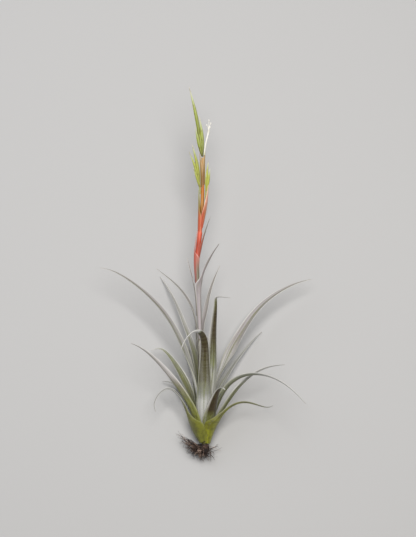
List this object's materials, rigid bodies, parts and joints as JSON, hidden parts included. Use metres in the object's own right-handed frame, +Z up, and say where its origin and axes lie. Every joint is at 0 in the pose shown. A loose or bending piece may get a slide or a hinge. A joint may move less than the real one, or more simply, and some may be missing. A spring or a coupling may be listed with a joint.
{
  "type": "air plant",
  "caption": "Flowering air plant laid on its back: a rosette of channelled silver leaves, a red-bracted stalk, green spikes, a white flower and wiry roots",
  "frame": {"origin": "centre of the bounding box in plan, on the surface that the plant lies on", "axes": "+Z up from the surface; +Y along the stem from roots to flowers, which is the longest extent; +X to the plant's right seen from above"},
  "size_m": [0.2016, 0.3489, 0.087],
  "materials": {
    "leaf": "matte, silver-grey with fine scales, olive at the sheath",
    "stem": "satin, salmon red flower stalk, greenish foot",
    "red_bract": "satin, salmon red to pale tan",
    "green_bract": "satin, yellow-green with pale tips",
    "flower": "satin, creamy white",
    "roots": "matte, dark brown, fibrous"
  },
  "bodies": {
    "root": {"stem": "stem", "leaf_01": "leaf", "leaf_02": "leaf", "leaf_03": "leaf", "leaf_04": "leaf", "leaf_05": "leaf", "leaf_06": "leaf", "leaf_07": "leaf", "leaf_08": "leaf", "leaf_09": "leaf", "leaf_10": "leaf", "leaf_11": "leaf", "leaf_12": "leaf", "leaf_13": "leaf", "leaf_14": "leaf", "leaf_15": "leaf", "leaf_16": "leaf", "leaf_17": "leaf", "stalk_leaf_01": "leaf", "stalk_leaf_02": "leaf", "stalk_leaf_03": "leaf", "stalk_leaf_04": "leaf", "stalk_bract_01": "red_bract", "stalk_bract_02": "red_bract", "stalk_bract_03": "red_bract", "branch_bract_01": "red_bract", "branch_bract_02": "red_bract", "branch_bract_03": "red_bract", "branch_bract_04": "red_bract", "spike_left": "green_bract", "spike_right": "green_bract", "spike_top": "green_bract", "flower": "flower", "roots": "roots"}
  },
  "joints": []
}
